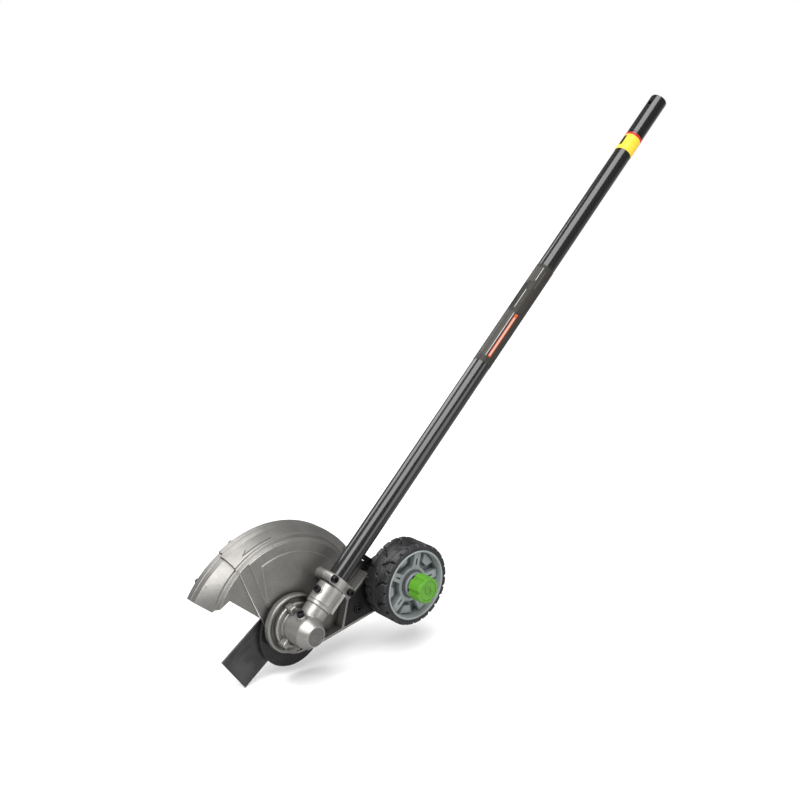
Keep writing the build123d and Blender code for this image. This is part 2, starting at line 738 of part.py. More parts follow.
with BuildPart() as case_bolts:
    for angle in lug_angles:
        cap_screw(back_plane(polar(lug_centre_radius, angle), cup_floor_y + gap), case_bolt_radius, 14.0)

with BuildPart() as tube_saddle:
    with BuildSketch(side_plane(boom_y - 0.1)):
        with Locations(boom_point(saddle_middle, 0)):
            RectangleRounded(saddle_length, 2 * ear_reach, ear_corner, rotation=boom_angle)
    extrude(amount=boom_y - 0.1 - saddle_front_y)
    disc(boom_plane(saddle_middle - saddle_length / 2), tube_radius + 4.0, saddle_length)
    with BuildSketch(side_plane(0)):
        Rectangle(400, 400)
    extrude(amount=-boom_y + 0.1, mode=Mode.SUBTRACT)
    disc(boom_plane(saddle_middle - saddle_length), tube_radius + gap, 2 * saddle_length, Mode.SUBTRACT)
    with BuildSketch(side_plane(0)):
        with Locations(*saddle_holes):
            Circle(saddle_screw_radius + gap)
    extrude(amount=80, mode=Mode.SUBTRACT)

with BuildPart() as saddle_screws:
    for place in saddle_holes:
        cap_screw(front_plane(place, saddle_front_y - gap), saddle_screw_radius, 30.0)

# ---------------------------------------------------------------- wheel bracket
bracket_front_y = arm_front_y
bracket_plate = 4.0
bracket_back_y = -18.0
bracket_wall = 3.0
bracket_outline = [
    (84.4, 7.0), (75.9, -27.7), (arm_end_x + 2, -17.2), (148, -28), (174, -28), (186, -16), (188, 32),
    (180, 44), (146, 52), (130, 46.5), (110, 63), (106.5, 59.5), (123.0, 43.0), (121.0, 34.2),
]
slot_middle_z = wheel_z + (slide_up - slide_down) / 2
slot_length = slide_up + slide_down
slot_half_width = bolt_radius + 0.1
head_side = 14.0
rail_gap = 0.1
boss_ring_radius = 6.5

with BuildPart() as wheel_bracket:
    with BuildSketch(side_plane(bracket_back_y)):
        outline(bracket_outline)
        fillet(vertices(), 1.2)
    extrude(amount=bracket_back_y - bracket_front_y)
    chamfer(faces().sort_by(Axis.Y)[0].edges(), 0.6)
    with BuildSketch(side_plane(bracket_back_y)):
        outline(bracket_outline)
        offset(amount=-bracket_wall, kind=Kind.INTERSECTION)
    extrude(amount=bracket_back_y - bracket_front_y - bracket_plate, mode=Mode.SUBTRACT)
    # screw bosses, each with a raised ring at the front and a foot on the arm
    with BuildSketch(side_plane(plateau_y - gap)):
        with Locations(*bracket_screws):
            Circle(boss_ring_radius)
    extrude(amount=plateau_y - gap - bracket_front_y + 1.0)
    with BuildSketch(side_plane(bracket_front_y + 2.5)):
        with Locations(*bracket_screws):
            Circle(1.8 * bracket_screw_radius + 0.3)
    extrude(amount=5, mode=Mode.SUBTRACT)
    with BuildSketch(side_plane(0)):
        with Locations(*bracket_screws):
            Circle(bracket_screw_radius + gap)
    extrude(amount=40, mode=Mode.SUBTRACT)
    # guide rails for the bolt head, then the slot
    with BuildSketch(side_plane(bracket_front_y + bracket_plate + 4.0)):
        with Locations((wheel_x - head_side / 2 - rail_gap - 1.5, slot_middle_z),
                       (wheel_x + head_side / 2 + rail_gap + 1.5, slot_middle_z)):
            Rectangle(3, slot_length + head_side)
    extrude(amount=5)
    with BuildSketch(side_plane(0)):
        with Locations((wheel_x, slot_middle_z)):
            SlotCenterToCenter(slot_length + 0.2, 2 * slot_half_width, rotation=90)
    extrude(amount=40, mode=Mode.SUBTRACT)
    # depth marks beside the slot
    with BuildSketch(side_plane(bracket_front_y + 0.5)):
        for i in range(5):
            with Locations((wheel_x + 16, slot_middle_z + 10 * (i - 2))):
                Rectangle(8, 1)
    extrude(amount=2, mode=Mode.SUBTRACT)

with BuildPart() as bracket_screws_set:
    for place in bracket_screws:
        cap_screw(front_plane(place, bracket_front_y + 2.5 - gap), bracket_screw_radius, 19.5)

# ---------------------------------------------------------------- wheel carriage
bolt_head_back_y = -22.0
sleeve_back_y = wheel_back_y
sleeve_front_y = -76.0
washer_radius = 11.0
knob_back_y = -78.2
bolt_end_y = -91.0


def wheel_disc(y, radius, length, mode=Mode.ADD):
    """Disc on the wheel axis, from y towards the front."""
    disc(front_plane((wheel_x, wheel_z), y), radius, length, mode)


with BuildPart() as axle_bolt:
    with BuildSketch(front_plane((wheel_x, wheel_z), bolt_head_back_y)):
        Rectangle(head_side, head_side)
    extrude(amount=bolt_head_back_y - (bracket_front_y + bracket_plate) - gap)
    chamfer(faces().sort_by(Axis.Y)[-1].edges(), 1.0)
    wheel_disc(bolt_head_back_y, bolt_radius, bolt_head_back_y - bolt_end_y)
    chamfer(faces().sort_by(Axis.Y)[0].edges(), 0.6)

with BuildPart() as axle_spacer:
    wheel_disc(bracket_front_y - gap, washer_radius, bracket_front_y - sleeve_back_y - 2 * gap)
    wheel_disc(0, bolt_radius + running, 60, Mode.SUBTRACT)

with BuildPart() as axle_sleeve:
    wheel_disc(sleeve_back_y, sleeve_outer_radius, sleeve_back_y - sleeve_front_y)
    wheel_disc(0, bolt_radius + running, 90, Mode.SUBTRACT)

with BuildPart() as thrust_washer:
    wheel_disc(sleeve_front_y - gap, washer_radius, sleeve_front_y - knob_back_y - 2 * gap)
    wheel_disc(0, bolt_radius + running, 90, Mode.SUBTRACT)
    chamfer(faces().sort_by(Axis.Y)[0].edges().sort_by(SortBy.RADIUS)[-1], 0.5)

# ---------------------------------------------------------------- wheel
hub_outer_radius = 13.0
wheel_bush_radius = 8.0
spokes = 5
first_spoke_angle = 77.0
spoke_width = 11.0
web_ring_radius = 23.0
rim_inner_radius = 42.0
floor_back_y = -54.0
floor_front_y = -57.5
spoke_front_y = -67.5
hub_front_y = -74.0
hub_back_y = -36.0

with BuildPart() as wheel_rim:
    turned([
        (rim_lip_radius, wheel_front_y + 0.7), (rim_lip_radius - 0.7, wheel_front_y),
        (rim_lip_radius - 1.9, wheel_front_y), (rim_lip_radius - 2.7, wheel_front_y + 1.2),
        (rim_inner_radius, floor_front_y), (rim_inner_radius, floor_back_y),
        (rim_inner_radius + 1, wheel_back_y - 1.5), (rim_lip_radius - 0.7, wheel_back_y - 1.5),
        (rim_lip_radius, wheel_back_y - 2.2), (rim_lip_radius, wheel_back_y - 4),
        (rim_seat_radius, wheel_back_y - 4), (rim_seat_radius, wheel_front_y + 2.5),
        (rim_lip_radius, wheel_front_y + 2.5),
    ], wheel_axis, wheel_section)
    wheel_disc(floor_back_y, rim_inner_radius + 1, floor_back_y - floor_front_y)
    with BuildSketch(front_plane((wheel_x, wheel_z), floor_front_y)):
        Circle(web_ring_radius)
        with PolarLocations(rim_inner_radius / 2, spokes, first_spoke_angle):
            Rectangle(rim_inner_radius + 1, spoke_width)
        fillet([v for v in vertices() if v.center().length < web_ring_radius + 3], 4)
    extrude(amount=floor_front_y - spoke_front_y)
    with BuildSketch(front_plane((wheel_x, wheel_z), floor_front_y)):
        with PolarLocations(rim_inner_radius - 6.0, spokes, first_spoke_angle + 180 / spokes):
            Trapezoid(27, 14, 62, rotation=90)
    extrude(amount=6.5, taper=14)
    with BuildSketch(front_plane((wheel_x, wheel_z), spoke_front_y + 2)):
        with PolarLocations(29.5, spokes, first_spoke_angle):
            SlotOverall(9, 2.4)
        Circle(19)
        Circle(17.4, mode=Mode.SUBTRACT)
    extrude(amount=4, mode=Mode.SUBTRACT)
    wheel_disc(hub_back_y, hub_outer_radius, hub_back_y - hub_front_y)
    chamfer(faces().sort_by(Axis.Y)[0].edges(), 0.5)
    wheel_disc(0, wheel_bush_radius + gap, 100, Mode.SUBTRACT)

with BuildPart() as wheel_bushing:
    wheel_disc(sleeve_back_y - 0.3, wheel_bush_radius, sleeve_back_y - 0.3 - sleeve_front_y - 0.3)
    wheel_disc(0, sleeve_outer_radius + running, 100, Mode.SUBTRACT)

with BuildPart() as tyre:
    turned([
        (rim_lip_radius + gap, wheel_front_y + 1.2), (tyre_radius - 2.5, wheel_front_y + 1.2),
        (tyre_radius, wheel_front_y + 4), (tyre_radius, wheel_back_y - 4),
        (tyre_radius - 2.5, wheel_back_y - 1),
        (rim_lip_radius + gap, wheel_back_y - 1), (rim_lip_radius + gap, wheel_back_y - 4 - gap),
        (rim_seat_radius + gap, wheel_back_y - 4 - gap), (rim_seat_radius + gap, wheel_front_y + 2.5 + gap),
        (rim_lip_radius + gap, wheel_front_y + 2.5 + gap),
    ], wheel_axis, wheel_section)

# ---------------------------------------------------------------- knob
insert_side = 6.5
insert_front_y = -90.0
knob_groove_radius = 3.2

with BuildPart() as knob_insert:
    with BuildSketch(front_plane((wheel_x, wheel_z), knob_back_y)):
        RegularPolygon(insert_side, 6)
    extrude(amount=knob_back_y - insert_front_y)
    wheel_disc(0, bolt_radius + running, 100, Mode.SUBTRACT)

with BuildPart() as knob:
    with BuildSketch(front_plane((wheel_x, wheel_z), knob_back_y)):
        Circle(knob_radius)
        with PolarLocations(knob_radius + 1.2, knob_lobes):
            Circle(knob_groove_radius, mode=Mode.SUBTRACT)
    extrude(amount=knob_back_y - knob_front_y, taper=3)
    chamfer(faces().sort_by(Axis.Y)[0].edges(), 0.9)
    with BuildSketch(front_plane((wheel_x, wheel_z), knob_front_y + 0.8)):
        Circle(knob_radius - 4.5)
        Circle(5.2, mode=Mode.SUBTRACT)
        Circle(4.2)
    extrude(amount=2, mode=Mode.SUBTRACT)
    # two curved arrows on the face
    with BuildSketch(front_plane((wheel_x, wheel_z), knob_front_y + 1.2)):
        Circle(8.6)
        Circle(7.4, mode=Mode.SUBTRACT)
        outline([(0, 0), polar(20, 100), polar(20, 160)], mode=Mode.INTERSECT)
    extrude(amount=2, mode=Mode.SUBTRACT)
    with BuildSketch(front_plane((wheel_x, wheel_z), knob_front_y + 1.2)):
        Circle(8.6)
        Circle(7.4, mode=Mode.SUBTRACT)
        outline([(0, 0), polar(20, 280), polar(20, 340)], mode=Mode.INTERSECT)
    extrude(amount=2, mode=Mode.SUBTRACT)
    with BuildSketch(front_plane((wheel_x, wheel_z), knob_back_y + 1)):
        RegularPolygon(insert_side + gap, 6)
    extrude(amount=knob_back_y + 1 - insert_front_y, mode=Mode.SUBTRACT)
    wheel_disc(0, bolt_radius + 0.4, -bolt_end_y + 3.5, Mode.SUBTRACT)

# ---------------------------------------------------------------- write the parts
pieces = {
    "shaft_tube": shaft_tube, "tube_end_bushing": tube_end_bushing, "shaft_bushings": shaft_bushings,
    "insertion_label": insertion_label, "rating_label": rating_label, "gear_case": gear_case,
    "gear_case_plug": gear_case_plug, "grease_screw": grease_screw, "clamp_sleeve": clamp_sleeve,
    "clamp_sleeve_screw": clamp_sleeve_screw, "output_bearing": output_bearing, "tail_bearing": tail_bearing,
    "pinion_bearing": pinion_bearing, "pinion_circlip": pinion_circlip, "shaft_seal": shaft_seal,
    "driven_gear": driven_gear, "pinion_gear": pinion_gear, "drive_shaft": drive_shaft,
    "output_shaft": output_shaft, "inner_flange": inner_flange, "edger_blade": edger_blade,
    "outer_flange": outer_flange, "blade_nut": blade_nut, "guard_cover": guard_cover,
    "guard_nose": guard_nose, "guard_rim": guard_rim, "guard_screws": guard_screws,
    "dust_shield": dust_shield, "case_bolts": case_bolts, "tube_saddle": tube_saddle,
    "saddle_screws": saddle_screws, "wheel_bracket": wheel_bracket, "bracket_screws": bracket_screws_set,
    "axle_bolt": axle_bolt, "axle_spacer": axle_spacer, "axle_sleeve": axle_sleeve,
    "thrust_washer": thrust_washer, "wheel_rim": wheel_rim, "wheel_bushing": wheel_bushing, "tyre": tyre,
    "knob_insert": knob_insert, "knob": knob,
}
os.makedirs("parts", exist_ok=True)
for name, piece in pieces.items():
    piece.part.label = name
    export_step(piece.part, f"parts/{name}.step")
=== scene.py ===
import bpy
import json
import math
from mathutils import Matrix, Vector


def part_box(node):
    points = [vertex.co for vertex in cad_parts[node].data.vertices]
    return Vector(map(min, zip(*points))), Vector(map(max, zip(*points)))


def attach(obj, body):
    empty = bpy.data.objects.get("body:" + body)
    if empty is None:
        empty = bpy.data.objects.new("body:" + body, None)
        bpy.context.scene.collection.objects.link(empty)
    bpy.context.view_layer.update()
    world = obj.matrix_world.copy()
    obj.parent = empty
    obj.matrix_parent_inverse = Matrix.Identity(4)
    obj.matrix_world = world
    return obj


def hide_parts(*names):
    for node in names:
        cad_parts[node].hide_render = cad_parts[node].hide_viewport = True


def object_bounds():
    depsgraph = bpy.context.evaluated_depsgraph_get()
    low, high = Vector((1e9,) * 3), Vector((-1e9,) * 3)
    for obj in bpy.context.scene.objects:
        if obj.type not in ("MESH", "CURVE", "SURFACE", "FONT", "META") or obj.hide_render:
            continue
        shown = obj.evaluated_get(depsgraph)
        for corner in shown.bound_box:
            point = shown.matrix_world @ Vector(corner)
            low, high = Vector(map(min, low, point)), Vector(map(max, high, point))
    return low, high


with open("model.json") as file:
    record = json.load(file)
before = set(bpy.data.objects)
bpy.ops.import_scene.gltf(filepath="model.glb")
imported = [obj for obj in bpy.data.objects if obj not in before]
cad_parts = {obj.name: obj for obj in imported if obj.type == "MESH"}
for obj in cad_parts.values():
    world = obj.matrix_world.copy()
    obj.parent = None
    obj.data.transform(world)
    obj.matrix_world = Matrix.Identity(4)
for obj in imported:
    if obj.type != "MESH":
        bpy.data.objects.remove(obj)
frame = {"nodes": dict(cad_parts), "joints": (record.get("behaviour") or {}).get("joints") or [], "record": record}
cad_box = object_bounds()
nodes = frame["nodes"]

# ------------------------------------------------------------ places taken from the frame
joints = {joint["name"]: joint for joint in frame["joints"]}
boom_direction = Vector(joints["drive_spin"]["axis"]).normalized()
boom_origin = Vector(joints["drive_spin"]["pos_m"])
boom_normal = Vector((-boom_direction.z, 0, boom_direction.x))
wheel_centre = Vector(joints["wheel_spin"]["pos_m"])


def boom_span(node):
    """Where a node starts and ends along the boom."""
    distances = [(vertex.co - boom_origin).dot(boom_direction) for vertex in nodes[node].data.vertices]
    return min(distances), max(distances)


def connect(tree, socket, value):
    """Link another node's output to a socket, or set the socket's own value."""
    if isinstance(value, bpy.types.NodeSocket):
        tree.links.new(value, socket)
    elif socket.type == "RGBA" and len(value) == 3:
        socket.default_value = (*value, 1.0)
    else:
        socket.default_value = value


def toned(colour, factor, lift=0.0):
    """A colour made lighter or darker."""
    return [min(1.0, factor * value + lift) for value in colour]


# ------------------------------------------------------------ node material builder
class Look:
    """Builds one node material. Lengths are in metres, in the part's own frame."""

    def __init__(self, name):
        self.material = bpy.data.materials.new(name)
        self.material.use_nodes = True
        self.tree = self.material.node_tree
        self.surface = self.tree.nodes["Principled BSDF"]
        self.place = self.node("ShaderNodeTexCoord").outputs["Object"]

    def node(self, kind, inputs=None, **settings):
        made = self.tree.nodes.new(kind)
        for key, value in settings.items():
            setattr(made, key, value)
        for key, value in (inputs or {}).items():
            connect(self.tree, made.inputs[key], value)
        return made

    def finish(self, **values):
        for key, value in values.items():
            connect(self.tree, self.surface.inputs[key.replace("_", " ")], value)
        return self.material

    def math(self, operation, a, b=0.0, clamp=False):
        made = self.node("ShaderNodeMath", {0: a, 1: b}, operation=operation, use_clamp=clamp)
        return made.outputs[0]

    def vector(self, operation, a, b):
        return self.node("ShaderNodeVectorMath", {0: a, 1: b}, operation=operation).outputs[0]

    def dot(self, a, b):
        made = self.node("ShaderNodeVectorMath", {0: a, 1: b}, operation="DOT_PRODUCT")
        return made.outputs["Value"]

    def noise(self, size, detail=3.0, roughness=0.55, where=None):
        """Smooth random field whose features are about size metres wide."""
        made = self.node("ShaderNodeTexNoise", {
            "Vector": self.place if where is None else where, "Scale": 1.0 / size,
            "Detail": detail, "Roughness": roughness})
        return made.outputs["Fac"]

    def cells(self, size):
        """Distance to the nearest of many soft-edged cells, each about size metres wide."""
        made = self.node("ShaderNodeTexVoronoi", {"Vector": self.place, "Scale": 1.0 / size},
                         feature="SMOOTH_F1")
        return made.outputs["Distance"]

    def span(self, value, low, high, to_low=0.0, to_high=1.0):
        """Smooth change from to_low to to_high as value goes from low to high."""
        made = self.node("ShaderNodeMapRange", {
            "Value": value, "From Min": low, "From Max": high, "To Min": to_low, "To Max": to_high},
            interpolation_type="SMOOTHSTEP")
        return made.outputs["Result"]

    def mix(self, factor, a, b):
        """Colour a where factor is 0, and colour b where it is 1."""
        made = self.node("ShaderNodeMix", {0: factor}, data_type="RGBA")
        connect(self.tree, made.inputs[6], a)
        connect(self.tree, made.inputs[7], b)
        return made.outputs[2]

    def soft_edges(self, radius):
        """Normal rounded over sharp edges, and how far it leans from the true normal."""
        rounded = self.node("ShaderNodeBevel", {"Radius": radius}, samples=6).outputs[0]
        flat = self.node("ShaderNodeNewGeometry").outputs["Normal"]
        lean = self.math("SUBTRACT", 1.0, self.dot(rounded, flat), clamp=True)
        return rounded, lean

    def openness(self, distance):
        """1 in the open, falling towards 0 in corners and grooves."""
        made = self.node("ShaderNodeAmbientOcclusion", {"Distance": distance}, samples=6)
        return made.outputs["AO"]

    def bump(self, height, depth, normal=None, strength=1.0):
        """Normal bent by a height field of the given depth in metres."""
        inputs = {"Height": height, "Distance": depth, "Strength": strength}
        if normal is not None:
            inputs["Normal"] = normal
        return self.node("ShaderNodeBump", inputs).outputs[0]

    def boom_place(self):
        """Distance along the boom, and angle around it: 0 at +Y, then up and over, to a full turn."""
        offset = self.vector("SUBTRACT", self.place, boom_origin)
        along = self.dot(offset, boom_direction)
        up = self.dot(offset, boom_normal)
        back = self.dot(offset, (0, 1, 0))
        turn = self.math("FLOORED_MODULO", self.math("ARCTAN2", up, back), 2 * math.pi)
        return along, turn

    def inside(self, value, low, high, edge=0.0002):
        """1 where value lies between low and high."""
        rising = self.span(value, low - edge, low + edge)
        falling = self.span(value, high - edge, high + edge, 1.0, 0.0)
        return self.math("MULTIPLY", rising, falling)


def cast_metal(name, colour, roughness, grain):
    """Die-cast light alloy with a blasted skin, edges painted bright as wear and as a highlight, and painted shade
    in corners.
    """
    look = Look(name)
    rounded, lean = look.soft_edges(0.0013)
    open_air = look.openness(0.010)
    blotch = look.noise(0.03, 5.0, 0.6)
    speckle = look.noise(grain, 2.0, 0.7)
    body = look.mix(look.span(blotch, 0.35, 0.7), toned(colour, 0.82), colour)
    body = look.mix(look.span(speckle, 0.45, 0.62, 0.0, 0.5), body, toned(colour, 0.62))
    # Painted shade: darker in corners and recesses, where the openness falls.
    body = look.mix(look.span(open_air, 0.35, 0.95, 0.85, 0.0), body, toned(colour, 0.2))
    # Worn edges and a painted highlight: brighter where the rounded normal leans from the true one.
    edge_wear_and_highlight = look.math("MULTIPLY", look.span(lean, 0.006, 0.06), look.span(open_air, 0.5, 0.9))
    body = look.mix(look.math("MULTIPLY", edge_wear_and_highlight, 0.9), body, toned(colour, 1.75))
    rough = look.span(speckle, 0.3, 0.7, roughness - 0.07, roughness + 0.1)
    rough = look.math("SUBTRACT", rough, look.math("MULTIPLY", edge_wear_and_highlight, 0.14))
    height = look.math("ADD", look.math("MULTIPLY", speckle, 0.8), look.math("MULTIPLY", blotch, 0.9))
    normal = look.bump(height, 0.00035, rounded, 0.5)
    return look.finish(Base_Color=body, Metallic=0.75, Roughness=rough, Normal=normal)


def turned_steel(name, colour, roughness, direction):
    """Machined steel with fine tool marks, drawn out where direction is small; painted shade in corners and a
    painted highlight on edges.
    """
    look = Look(name)
    rounded, lean = look.soft_edges(0.0005)
    open_air = look.openness(0.006)
    marks = look.noise(0.0009, 2.0, 0.5, look.vector("MULTIPLY", look.place, direction))
    cloud = look.noise(0.012, 4.0)
    body = look.mix(look.span(cloud, 0.3, 0.7), toned(colour, 0.75), colour)
    body = look.mix(look.span(marks, 0.4, 0.65, 0.0, 0.25), body, toned(colour, 1.35))
    # Painted shade: darker in corners and grooves, where the openness falls.
    body = look.mix(look.span(open_air, 0.3, 0.9, 0.7, 0.0), body, toned(colour, 0.2))
    # Painted highlight: lighter on edges, where the rounded normal leans.
    body = look.mix(look.span(lean, 0.02, 0.2, 0.0, 0.7), body, toned(colour, 1.6, 0.05))
    rough = look.span(marks, 0.3, 0.7, roughness - 0.06, roughness + 0.1)
    normal = look.bump(marks, 0.00012, rounded, 0.5)
    return look.finish(Base_Color=body, Metallic=0.95, Roughness=rough, Normal=normal)


def moulded(name, colour, roughness, grain, subsurface=0.0, shade=0.3, edge=1.25):
    """Injection-moulded plastic: fine spark texture, painted shade in corners (shade), worn edges with a painted
    highlight (edge).
    """
    look = Look(name)
    rounded, lean = look.soft_edges(0.0008)
    open_air = look.openness(0.008)
    cloud = look.noise(0.02, 4.0)
    body = look.mix(look.span(cloud, 0.3, 0.75), toned(colour, 0.88), colour)
    # Painted shade: darker in corners and grooves, down to the shade tone.
    body = look.mix(look.span(open_air, 0.3, 0.95, 0.8, 0.0), body, toned(colour, shade))
    # Worn edges and a painted highlight: lighter where the rounded normal leans.
    edge_wear_and_highlight = look.math("MULTIPLY", look.span(lean, 0.03, 0.2, 0.0, 0.6), look.span(open_air, 0.5, 0.9))
    body = look.mix(edge_wear_and_highlight, body, toned(colour, edge, 0.015))
    rough = look.span(cloud, 0.3, 0.7, roughness - 0.05, roughness + 0.08)
    normal = look.bump(look.cells(grain), 0.0002, rounded, 0.35)
    return look.finish(Base_Color=body, Roughness=rough, Normal=normal, Subsurface_Weight=subsurface,
                       Subsurface_Radius=(0.004, 0.004, 0.003), Specular_IOR_Level=0.5)


def gloss_black(name, colour, roughness):
    """Black enamel with slight orange peel, dust in patches, and edges painted grey as bare metal and as a
    highlight.
    """
    look = Look(name)
    rounded, lean = look.soft_edges(0.0006)
    open_air = look.openness(0.01)
    peel = look.noise(0.0025, 2.0)
    dust = look.noise(0.015, 5.0, 0.65)
    body = look.mix(look.span(dust, 0.5, 0.8, 0.0, 0.5), colour, toned(colour, 1.0, 0.035))
    # Bare metal and a painted highlight: lighter grey where the rounded normal leans.
    edge_wear_and_highlight = look.math("MULTIPLY", look.span(lean, 0.05, 0.25, 0.0, 0.5), look.span(open_air, 0.6, 0.9))
    body = look.mix(edge_wear_and_highlight, body, (0.22, 0.22, 0.23))
    rough = look.span(dust, 0.35, 0.75, roughness - 0.05, roughness + 0.12)
    normal = look.bump(peel, 0.00015, rounded, 0.4)
    return look.finish(Base_Color=body, Metallic=0.25, Roughness=rough, Normal=normal,
                       Coat_Weight=0.5, Coat_Roughness=0.12)


def woven_tube(name):
    """Lacquered black tube whose outer skin is a fine two-by-two twill, its sheen and the shade between tows
    painted into the colour.
    """
    look = Look(name)
    along, turn = look.boom_place()
    tow_width = 0.0018
    tows_around = 44
    rows = look.math("DIVIDE", along, tow_width)
    columns = look.math("MULTIPLY", turn, tows_around / (2 * math.pi))
    step = look.math("ADD", look.math("FLOOR", rows), look.math("FLOOR", columns))
    over = look.math("LESS_THAN", look.math("FLOORED_MODULO", step, 4.0), 1.5)
    across_warp = look.math("SINE", look.math("MULTIPLY", look.math("FRACT", columns), math.pi))
    across_weft = look.math("SINE", look.math("MULTIPLY", look.math("FRACT", rows), math.pi))
    crown = look.mix(over, across_weft, across_warp)
    # Painted sheen: tows of one direction are painted lighter than the other. Painted shade: each tow darker
    # towards its edges.
    tone = look.mix(over, (0.0025, 0.0025, 0.003), (0.016, 0.016, 0.018))
    tone = look.mix(look.math("MULTIPLY", crown, 0.5), (0.002, 0.002, 0.0025), tone)
    haze = look.math("MULTIPLY", look.noise(0.05), 0.08)
    rough = look.math("ADD", look.span(over, 0.0, 1.0, 0.34, 0.46), haze)
    weave = look.bump(crown, 0.00012, None, 0.5)
    ripple = look.bump(look.noise(0.006, 2.0), 0.00004, None, 0.2)
    return look.finish(Base_Color=tone, Roughness=rough, Normal=weave, Specular_IOR_Level=0.25,
                       Coat_Weight=1.0, Coat_IOR=1.6, Coat_Roughness=0.08, Coat_Normal=ripple)


def printed_film(name, ground, origin, blocks, roughness):
    """Label film printed with plain coloured blocks.

    Each block gives its ends along the boom from origin, its sides around the boom, and a colour.
    """
    look = Look(name)
    along, turn = look.boom_place()
    body = look.mix(look.noise(0.01, 4.0), ground, [value * 1.2 + 0.003 for value in ground])
    for (start, end), (low, high), colour in blocks:
        length_wise = look.inside(along, origin + start, origin + end)
        cover = look.math("MULTIPLY", length_wise, look.inside(turn, low, high, 0.012))
        body = look.mix(cover, body, colour)
    rough = look.span(look.noise(0.006), 0.3, 0.7, roughness - 0.05, roughness + 0.06)
    normal = look.bump(look.noise(0.0008, 2.0), 0.00004, look.soft_edges(0.0003)[0], 0.3)
    return look.finish(Base_Color=body, Roughness=rough, Normal=normal, Specular_IOR_Level=0.25)


def dark_blade(name):
    """Heat-treated blade steel with length-wise grinding marks and edges painted lighter as a highlight."""
    look = Look(name)
    rounded, lean = look.soft_edges(0.0007)
    blade_slope = math.radians(215.0)
    level = look.node("ShaderNodeVectorRotate", {
        "Vector": look.place, "Axis": (0, 1, 0), "Angle": blade_slope}, rotation_type="AXIS_ANGLE")
    drawn_out = look.vector("MULTIPLY", level.outputs[0], (0.02, 0.2, 1.0))
    marks = look.noise(0.0006, 2.0, 0.5, drawn_out)
    cloud = look.noise(0.035, 5.0, 0.6)
    body = look.mix(look.span(cloud, 0.3, 0.7), (0.07, 0.07, 0.072), (0.13, 0.13, 0.132))
    body = look.mix(look.span(marks, 0.45, 0.7, 0.0, 0.3), body, (0.2, 0.2, 0.205))
    # Painted highlight: lighter on edges, where the rounded normal leans.
    body = look.mix(look.span(lean, 0.02, 0.2, 0.0, 0.8), body, (0.3, 0.3, 0.31))
    rough = look.span(cloud, 0.3, 0.7, 0.36, 0.5)
    normal = look.bump(marks, 0.0001, rounded, 0.5)
    return look.finish(Base_Color=body, Metallic=0.8, Roughness=rough, Normal=normal)


def tyre_rubber(name):
    """Moulded rubber: grooves darkened as painted shade, polished block tops whose edges carry a painted
    highlight, and a fine grain.
    """
    look = Look(name)
    rounded, lean = look.soft_edges(0.0007)
    open_air = look.openness(0.004)
    grain = look.noise(0.0007, 3.0, 0.6)
    dust = look.noise(0.014, 5.0, 0.65)
    body = look.mix(look.span(dust, 0.4, 0.75), (0.018, 0.018, 0.02), (0.042, 0.042, 0.045))
    # Painted shade: grooves darkened where the openness falls.
    body = look.mix(look.span(open_air, 0.45, 0.95, 0.95, 0.0), body, (0.002, 0.002, 0.002))
    # Painted highlight: block edges lighter where the rounded normal leans.
    edge_wear_and_highlight = look.math("MULTIPLY", look.span(lean, 0.01, 0.08, 0.0, 0.8), look.span(open_air, 0.55, 0.9))
    body = look.mix(edge_wear_and_highlight, body, (0.11, 0.112, 0.118))
    rough = look.span(dust, 0.3, 0.7, 0.34, 0.5)
    height = look.math("ADD", grain, look.math("MULTIPLY", dust, 0.6))
    normal = look.bump(height, 0.0002, rounded, 0.4)
    return look.finish(Base_Color=body, Roughness=rough, Normal=normal, Specular_IOR_Level=0.6)


def backdrop_white(name):
    """Pale studio floor. The camera sees it fully white; polished metal sees it subdued."""
    look = Look(name)
    rays = look.node("ShaderNodeLightPath")
    tone = look.mix(look.noise(0.3, 2.0), (0.78, 0.78, 0.78), (0.8, 0.8, 0.8))
    tone = look.mix(rays.outputs["Is Glossy Ray"], tone, (0.34, 0.34, 0.34))
    tone = look.mix(rays.outputs["Is Camera Ray"], tone, (1.0, 1.0, 1.005))
    return look.finish(Base_Color=tone, Roughness=1.0, Specular_IOR_Level=0.0)


# ------------------------------------------------------------ printing on the two labels
ink_white = (0.62, 0.61, 0.58)
ink_grey = (0.10, 0.095, 0.085)
ink_black = (0.003, 0.003, 0.003)
ink_orange = (0.62, 0.1, 0.03)
ink_red = (0.62, 0.02, 0.03)
ink_pale = (0.62, 0.4, 0.34)

# each block: ends in metres from the label's lower end, sides in radians around the boom, colour
rating_start = boom_span("rating_label")[0]
rating_blocks = [
    ((0.0880, 0.1340), (0.3, 1.62), ink_black),
    ((0.0090, 0.0850), (2.36, 2.80), ink_black),
    ((0.0100, 0.0840), (2.44, 2.76), ink_orange),
    ((0.0120, 0.0780), (2.51, 2.68), ink_pale),
    ((0.0095, 0.0840), (2.20, 2.26), ink_white),
    ((0.0920, 0.1240), (1.86, 1.92), ink_white),
    ((0.1420, 0.1650), (2.16, 2.22), ink_white),
    ((0.1300, 0.1610), (2.56, 2.64), ink_grey),
]
for line in range(6):
    low = 1.25 + 0.16 * line
    rating_blocks.append(((0.0085, 0.0850), (low, low + 0.06), ink_grey))
for line in range(5):
    low = 1.20 + 0.18 * line
    rating_blocks.append(((0.1390, 0.1650), (low, low + 0.08), ink_grey))

band_start, band_end = boom_span("insertion_label")
band_width = band_end - band_start
band_blocks = [
    ((band_width - 0.004, band_width), (0.0, 2 * math.pi), ink_red),
    ((0.008, band_width - 0.007), (1.05, 1.55), (0.01, 0.01, 0.01)),
]

